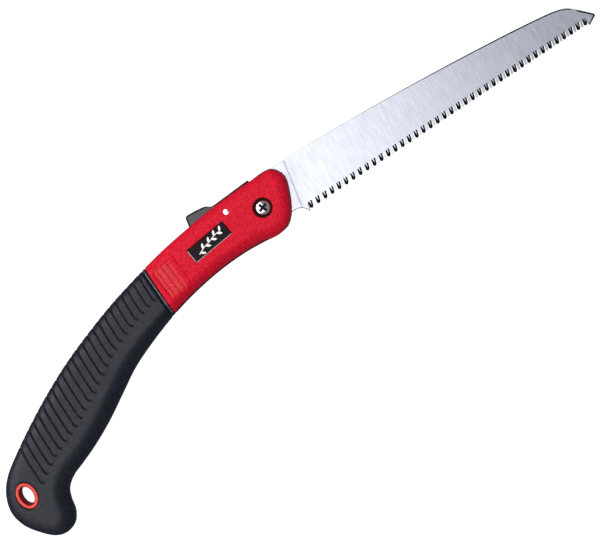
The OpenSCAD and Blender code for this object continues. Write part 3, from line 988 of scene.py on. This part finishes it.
def tooth_points(i):
    """Corners of a tooth, and their places on its ground face and on its whole face."""
    tip = np.array(HEEL) + i * PITCH * np.array([1, EDGE_RISE])
    grow = TOOTH_GROW if i % 2 == 0 else -TOOTH_GROW
    wide = PITCH / 2 - GULLET / 2 + grow
    root = PITCH / 2 - 0.05 + grow
    right_root = tip + (TOOTH_LEAN + root, TOOTH_HEIGHT)
    right = tip + (wide, POINT_HEIGHT)
    left = tip + (-wide, POINT_HEIGHT)
    left_root = tip + (TOOTH_LEAN - root, TOOTH_HEIGHT)
    notch = tip + FACE_NOTCH
    right_top = right_root + (-0.675 * root, 1.45)
    left_top = left_root + (0.65 * root, 1.4)
    ground = [right_top, notch + NOTCH_MIX * (right_top - notch), notch,
              notch + NOTCH_MIX * (left_top - notch), left_top]
    whole = [right_root + (-0.1, 0.25), right + (-0.25, 0.1), tip + (0, 1.0),
             left + (0.25, 0.1), left_root + (0.25, 0.25)]
    return [right_root, right, tip, left, left_root], ground, whole


def bevel_width(p):
    """Width of the blade's edge bevel: fine along the back, wider to the nose."""
    x, y = p[:, 0], p[:, 1]
    below = np.where(x > NOSE_START, 1.3, 0.5)
    return np.where(y > 0, 0.2 + 0.8 * smooth(x, 60, 230), below)


def blade_outline():
    """Points of the outline, of the top face and of the bottom face, and which are of teeth."""
    points, top, low = [], [], []

    def add(loop, on_top=None, on_bottom=None):
        points.extend(loop)
        top.extend(on_top or [None] * len(loop))
        low.extend(on_bottom or [None] * len(loop))

    def tang(start, end):
        add(arc(TANG, start, end, max(2, int(abs(end - start) / 5))))

    def notch(turn):
        add(turned([(x, NOTCH_FLOOR) for x in NOTCH], math.radians(turn)))

    add(spline(BACK_POINTS, 8, closed=False))
    add(NOSE)
    for i in range(LAST_TOOTH, -1, -1):
        corners, ground, whole = tooth_points(i)
        if i % 2 == 0:
            add(corners, ground, whole)
        else:
            add(corners, whole, ground)
    root = HEEL[0] + TOOTH_LEAN - PITCH / 2 - GULLET / 2
    add([(root, HEEL[1] + TOOTH_HEIGHT)])
    add([(HEEL[0] - PITCH / 2 - GULLET, HEEL[1] + POINT_HEIGHT)])
    add(arc(HOLLOW_RADIUS, 15, 108, 12, HEEL_HOLLOW))
    first, last = [math.degrees(math.acos(x / TANG)) for x in NOTCH]
    start, end = [math.degrees(math.atan2(y, x)) for x, y in (TANG_START, TANG_END)]
    tang(start, first + FOLD - 360)
    notch(FOLD)
    tang(last + FOLD - 360, first - 360)
    notch(0)
    tang(last - 360, end - 360)

    plain = np.array([tuple(p) for p in points])[::-1]
    bevelled = plain + inward(plain) * bevel_width(plain)[:, None]
    up = [b if t is None else t for t, b in zip(top[::-1], bevelled)]
    down = [b if t is None else t for t, b in zip(low[::-1], bevelled)]
    tooth = [t is not None for t in top[::-1]]
    return plain, np.array(up), np.array(down), np.array(tooth)


def blade_holes():
    """Outlines of the pivot's hole and of the stop pin's curved slot."""
    start, end = SLOT_SWING
    first, last = arc(SLOT_RADIUS, start, end, 1)
    slot = np.vstack([
        arc(SLOT_RADIUS + SLOT_HALF, start, end, 23),
        arc(SLOT_HALF, end, end + 180, 8, last)[1:-1],
        arc(SLOT_RADIUS - SLOT_HALF, end, start, 23),
        arc(SLOT_HALF, start + 180, start + 360, 8, first)[1:-1],
    ])
    return [circle(PIVOT_BORE, 48), slot]


def grind_points():
    """Points beside the grind line, where the thickness changes."""
    share = np.linspace(0.04, 0.98, 60)[:, None]
    line = (1 - share) * GRIND[0] + share * GRIND[1]
    return np.vstack([line + (d, 0) for d in (-0.5, -0.2, 0.2, 0.5)])


def half_thickness(p):
    """Half the blade's thickness: more on the tang side of the grind line."""
    return BLADE_HALF - GRIND_DEPTH * smooth(-seg_line(p, *GRIND[::-1]), -0.4, 0.4)


def make_blade():
    plain, up, down, tooth = blade_outline()
    n = len(plain)

    def layer(loop, share):
        """Loop at a share of the half thickness, below the middle if it is negative."""
        return np.column_stack([loop, share * half_thickness(loop)])

    def middle(mix, sign):
        """Loop of the cutting edge, which is thin where there are no teeth."""
        loop = np.where(tooth[:, None], down * (1 - mix) + up * mix, plain)
        return layer(loop, sign * np.where(tooth, 0.5, EDGE_SHARE))

    layers = [layer(down, -1), middle(0.25, -1), middle(0.75, 1), layer(up, 1)]
    faces = side_faces(len(layers), n)
    between = tooth & np.roll(tooth, -1)
    # The tooth faces and the back and nose bevels get the near-black material, painted shade.
    bevel = (plain[:, 1] > 0) | (plain[:, 0] > NOSE_START)
    places = np.concatenate([between | bevel, between, between | bevel]).astype(int).tolist()

    holes = blade_holes()
    lines = grind_points()
    total = len(layers) * n
    starts = []
    for first, loop, sign in ((0, down, -1), (3 * n, up, 1)):
        inner = lines[inside(lines, inset(loop, 0.3))]
        new = np.vstack([*holes, inner])
        number = np.r_[first + np.arange(n), total + np.arange(len(new))]
        faces += number[fill([loop, *holes], inner)][:, ::sign].tolist()
        layers.append(layer(new, sign))
        starts.append(total)
        total += len(new)
    low, high = starts
    for hole in holes:
        i = np.arange(len(hole))
        j = (i + 1) % len(hole)
        faces += np.column_stack([high + i, high + j, low + j, low + i]).tolist()
        low += len(hole)
        high += len(hole)
    places += [0] * (len(faces) - len(places))

    obj = new_piece("blade_ground", np.vstack(layers), faces, [MAT["blade"], MAT["teeth"]],
                    places)
    bm = bmesh.new()
    bm.from_mesh(obj.data)
    bmesh.ops.recalc_face_normals(bm, faces=bm.faces)
    bm.to_mesh(obj.data)
    bm.free()
    soften(obj, 12)
    hand_over(obj, "blade", "blade_steel", "blade")


make_blade()


# ---------------------------------------------------------------- pivot, pins and screws
def cross_cutter(place, arm, half, low, high, turn, taper):
    """Cross-shaped cutter; taper shrinks its lower end."""
    loops = []
    for z, k in ((low, taper), (high, 1.0)):
        a, h = arm * k, half * (0.7 + 0.3 * k)
        corners = [(h, h), (h, a), (-h, a), (-h, h), (-a, h), (-a, -h), (-h, -h), (-h, -a),
                   (h, -a), (h, -h), (a, -h), (a, h)]
        loops.append(at_height(turned(corners, turn) + place, z))
    return stack("cutter", loops)


def make_pivot_screw():
    sphere = (HEAD**2 + DOME_HEIGHT**2) / (2 * DOME_HEIGHT)
    centre = HEAD_SEAT + HEAD_WALL + DOME_HEIGHT - sphere
    radii = (5.1, 4.7, 4.3, 3.8, 3.2, 2.5, 1.7, 0.9, 0.02)
    profile = [(2.5, -6), (2.5, HEAD_SEAT), (HEAD - 0.15, HEAD_SEAT), (HEAD, HEAD_SEAT + 0.15),
               (HEAD, HEAD_SEAT + 0.5), (HEAD - 0.05, HEAD_SEAT + 0.66)]
    profile += [(r, centre + math.sqrt(sphere**2 - r**2)) for r in radii]
    screw = lathe("pivot_screw_head", profile, material=[MAT["chrome"], MAT["recess"]])
    cross = cross_cutter((0, 0), 4.3, 1.05, HEAD_SEAT + 0.25, 12, math.radians(20), 0.75)
    # The cross is painted near black as the shade inside it.
    paint(cross, [MAT["chrome"], MAT["recess"]], lambda p, normal: np.ones(len(p), int))
    cut(screw, cross)
    soften(screw, 32)
    hand_over(screw, "handle", "bright_chrome", "pivot_screw")


def make_pivot_nut():
    nut = lathe(
        "pivot_nut_head",
        [(6.1, -10.0), (6.45, -9.9), (6.65, -9.6), (6.65, -7.75), (6.5, -7.5), (4, -7.5),
         (4, 7.1), (3.8, 7.3)], material=MAT["chrome"],
    )
    cut(
        nut,
        lathe("cutter", [(2.55, -6.5), (2.55, 9)], count=48),
        box_cutter([(-5, -0.8), (5, -0.8), (5, 0.8), (-5, 0.8)], -12, -8.9),
    )
    soften(nut, 32)
    hand_over(nut, "handle", "bright_chrome", "pivot_sleeve_nut")


def make_lever_pin():
    half = [(2.2, 10.85), (2.05, 11.1), (1.7, 11.2)]
    profile = [(r, -z) for r, z in half[::-1]] + half
    pin = lathe("lever_pin_rivet", profile, LEVER_PIN, MAT["pin"], 48)
    soften(pin, 32)
    hand_over(pin, "handle", "pin_steel", "lever_pin")


def side_screw(place):
    """Screw with its head on the right side."""
    body = lathe(
        "screw",
        [(2.3, -10.45), (2.7, -10.3), (2.95, -9.95), (3.0, -9.5), (3.0, -8.5), (1.5, -8.5),
         (1.5, 6.2), (1.25, 6.45)], place, MAT["screw"], 40,
    )
    cut(body, cross_cutter(place, 1.7, 0.42, -12, -9.2, 0.3, 1.0))
    return body


def make_side_screws(name, places):
    screws = join(f"{name}_set", [side_screw(p) for p in places])
    soften(screws, 32)
    hand_over(screws, "handle", "screw_steel", name)


make_pivot_screw()
make_pivot_nut()
make_lever_pin()
make_side_screws("shell_screws", SHELL_SCREWS)
make_side_screws("grip_screws", GRIP_SCREWS)


# ---------------------------------------------------------------- thumb pad
def make_pad():
    """Thumb button with its thin strip, where the bevel is narrower."""
    loop = rounded(PAD, 0.9, 4)
    edge = [(0, 1.2), (0.12, 0.8), (0.35, 0.35), (0.65, 0.08), (0.95, 0)]
    steps = [(-PAD_HALF + a, b) for a, b in edge] + [(PAD_HALF - a, b) for a, b in edge[::-1]]
    share = 1 - 0.8 * smooth(loop[:, 0], BUTTON_END - 5.5, BUTTON_END)
    pad = stack("thumb_pad_button", [at_height(inset(loop, d * share), z) for z, d in steps])
    cut(pad, box_cutter(PAD_GROOVE, -1.25, 1.25))

    def on_side(p, normal):
        """1 on the button's flat sides; 0 elsewhere, near black: painted shade on its edges, the
        strip's own black.
        """
        flat = (abs(normal[:, 2]) > 0.97) & (abs(p[:, 2]) > PAD_HALF - 0.1)
        return flat & (p[:, 0] < BUTTON_END)

    paint(pad, [MAT["black_and_painted_shade"], MAT["pad"]], on_side)
    soften(pad, 35)
    hand_over(pad, "lever", "pad_plastic", "thumb_pad")


make_pad()


# ---------------------------------------------------------------- eyelet and nameplate
def make_eyelet():
    """Oval ring with a rounded rim on both sides and a waisted bore."""
    rim = [
        (0.05, 9.4), (0.2, 10.3), (0.6, 10.9), (1.1, 11.17), (1.6, 11.1), (2.1, 10.75),
        (2.5, 10.1), (2.8, 9.2), (3.1, 8.0), (3.3, 6.4), (3.35, 4.0),
    ]
    section = rim + [(r, -z) for r, z in rim[::-1]]
    layers = [at_height(oval(-r), z) for r, z in section + section[:1]]
    n = len(layers[0])
    faces = np.array(side_faces(len(layers), n)) % (len(section) * n)
    ring = new_piece("lanyard_eyelet_ring", np.vstack(layers[:-1]), faces.tolist())
    # The bore, below the rims, is painted darker red as shade.
    paint(ring, [MAT["eyelet"], MAT["bore"]], lambda p, normal: abs(p[:, 2]) < 9.7)
    soften(ring, 50)
    hand_over(ring, "handle", "eyelet_red", "lanyard_eyelet")


MOTIF_FLOOR = 10.6
MOTIF_TOP = 10.93
STEM_TOP = 10.9
STEM_HALF = 0.3
LEAVES = 8
LEAF_LENGTH = 4.3
LEAF_HALF = 0.85


def motif(loop, steps):
    return prism("motif", ccw(turned(loop, PLATE_ANGLE) + PLATE), steps, MAT["silver"])


def make_sprig():
    """A stem with leaves on alternate sides, as separate solids."""
    stem = spline([(-11.5, -2.6), (-6, -0.6), (0, 0.2), (6, 1.6), (11, 1.2)], 8, closed=False)
    across = inward(np.vstack([stem, stem[::-1] + 1e-4]))[:len(stem)]
    ribbon = np.vstack([stem + across * STEM_HALF, (stem - across * STEM_HALF)[::-1]])
    shapes = [motif(ribbon[1:-1], [(MOTIF_FLOOR, 0), (STEM_TOP, 0.02)])]
    t = np.linspace(0, 1, 9)
    edge = np.column_stack([LEAF_LENGTH * t, LEAF_HALF * np.sin(math.pi * t) ** 0.8])
    leaf = np.vstack([edge, (edge * (1, -1))[::-1][1:-1]])
    for k, at in enumerate(np.linspace(3, len(stem) - 2, LEAVES).astype(int)):
        angle = math.radians(12 + (48 if k % 2 else -48))
        shapes.append(motif(turned(leaf, angle) + stem[at], [(MOTIF_FLOOR, 0), (MOTIF_TOP, 0)]))
    return shapes


def make_plate():
    steps = [
        (PLATE_FLOOR, 0), (10.62, 0), (10.78, 0.08), (10.88, 0.25), (10.9, 0.4), (10.9, 0.6),
        (10.72, 0.8),
    ]
    base = stack("nameplate_panel", [
        at_height(plate_loop(-0.05 - d, 1.1 - d), z) for z, d in steps
    ])

    def painted_highlight_edge(p, normal):
        """1 on the bevel along the left and lower sides, painted silver as a highlight."""
        from_corner = turned(p[:, :2] - PLATE, -PLATE_ANGLE) + np.array(PLATE_SIZE) / 2
        bevel = (p[:, 2] > 10.65) & (normal[:, 2] > 0.1)
        return bevel & (from_corner.min(1) < 0.45)

    paint(base, [MAT["plate"], MAT["silver"]], painted_highlight_edge)
    plate = join("nameplate_panel", [base, *make_sprig()])
    soften(plate, 35)
    hand_over(plate, "handle", "plate_black", "nameplate")


make_eyelet()
make_plate()


# ---------------------------------------------------------------- floor, light, camera
# Sizes and places of the floor and the lamps are in metres in the row's frame.
FLOOR_HALF = 15.0
FLOOR_HEIGHT = -0.0003


def make_floor():
    """White ground that the saw lies on, and that throws no light back on it."""
    corners = [(x * FLOOR_HALF, y * FLOOR_HALF, FLOOR_HEIGHT)
               for x, y in ((-1, -1), (1, -1), (1, 1), (-1, 1))]
    mesh = bpy.data.meshes.new("floor")
    mesh.from_pydata(corners, [], [(0, 1, 2, 3)])
    floor = bpy.data.objects.new("floor", mesh)
    bpy.context.scene.collection.objects.link(floor)
    s = Surface("floor_white", 0.9, specular=0.2)
    s.colour(s.noise(400), (0.34, 0.34, 0.34), (0.36, 0.36, 0.36))
    s.bsdf.inputs["Emission Color"].default_value = (1, 1, 1, 1)
    s.bsdf.inputs["Emission Strength"].default_value = 0.95
    mesh.materials.append(s.material)
    floor.visible_diffuse = floor.visible_glossy = False


def area(name, place, target, size, power, colour=(1, 1, 1)):
    light = bpy.data.lights.new(name, "AREA")
    light.shape = "RECTANGLE"
    light.size, light.size_y = size
    light.energy = power
    light.color = colour
    obj = bpy.data.objects.new(name, light)
    obj.location = place
    obj.rotation_euler = (Vector(target) - Vector(place)).to_track_quat("-Z", "Y").to_euler()
    bpy.context.scene.collection.objects.link(obj)


def make_world(colour, strength):
    world = bpy.data.worlds.new("studio")
    world.use_nodes = True
    back = world.node_tree.nodes["Background"]
    back.inputs["Color"].default_value = (*colour, 1)
    back.inputs["Strength"].default_value = strength
    bpy.context.scene.world = world


CAMERA_CENTRE = (-2.3, -52.8)
CAMERA_DISTANCE = 1800
CAMERA_TURN = math.radians(-32.9)
FIELD = 433.7
SENSOR = 36


def make_camera():
    """Camera straight above the saw, turned so that the blade points up to the right."""
    data = bpy.data.cameras.new("camera")
    data.sensor_width = SENSOR
    data.lens = SENSOR * CAMERA_DISTANCE / FIELD
    data.clip_end = 50
    camera = bpy.data.objects.new("camera", data)
    camera.location = placed([(*CAMERA_CENTRE, CAMERA_DISTANCE)])[0]
    camera.rotation_euler = (0, 0, CAMERA_TURN)
    bpy.context.scene.collection.objects.link(camera)
    bpy.context.scene.camera = camera


make_floor()
make_world((0.83, 0.91, 1.0), 0.235)
area("softbox", (-1.18, 0.55, 1.7), (-1.18, 0.55, 0), (2.9, 3.0), 44, (1.0, 0.985, 0.90))
area("key", (-1.2, 1.3, 1.2), (-0.1, 0, 0), (0.8, 0.8), 9)
make_camera()
bpy.context.scene.view_settings.view_transform = "Standard"
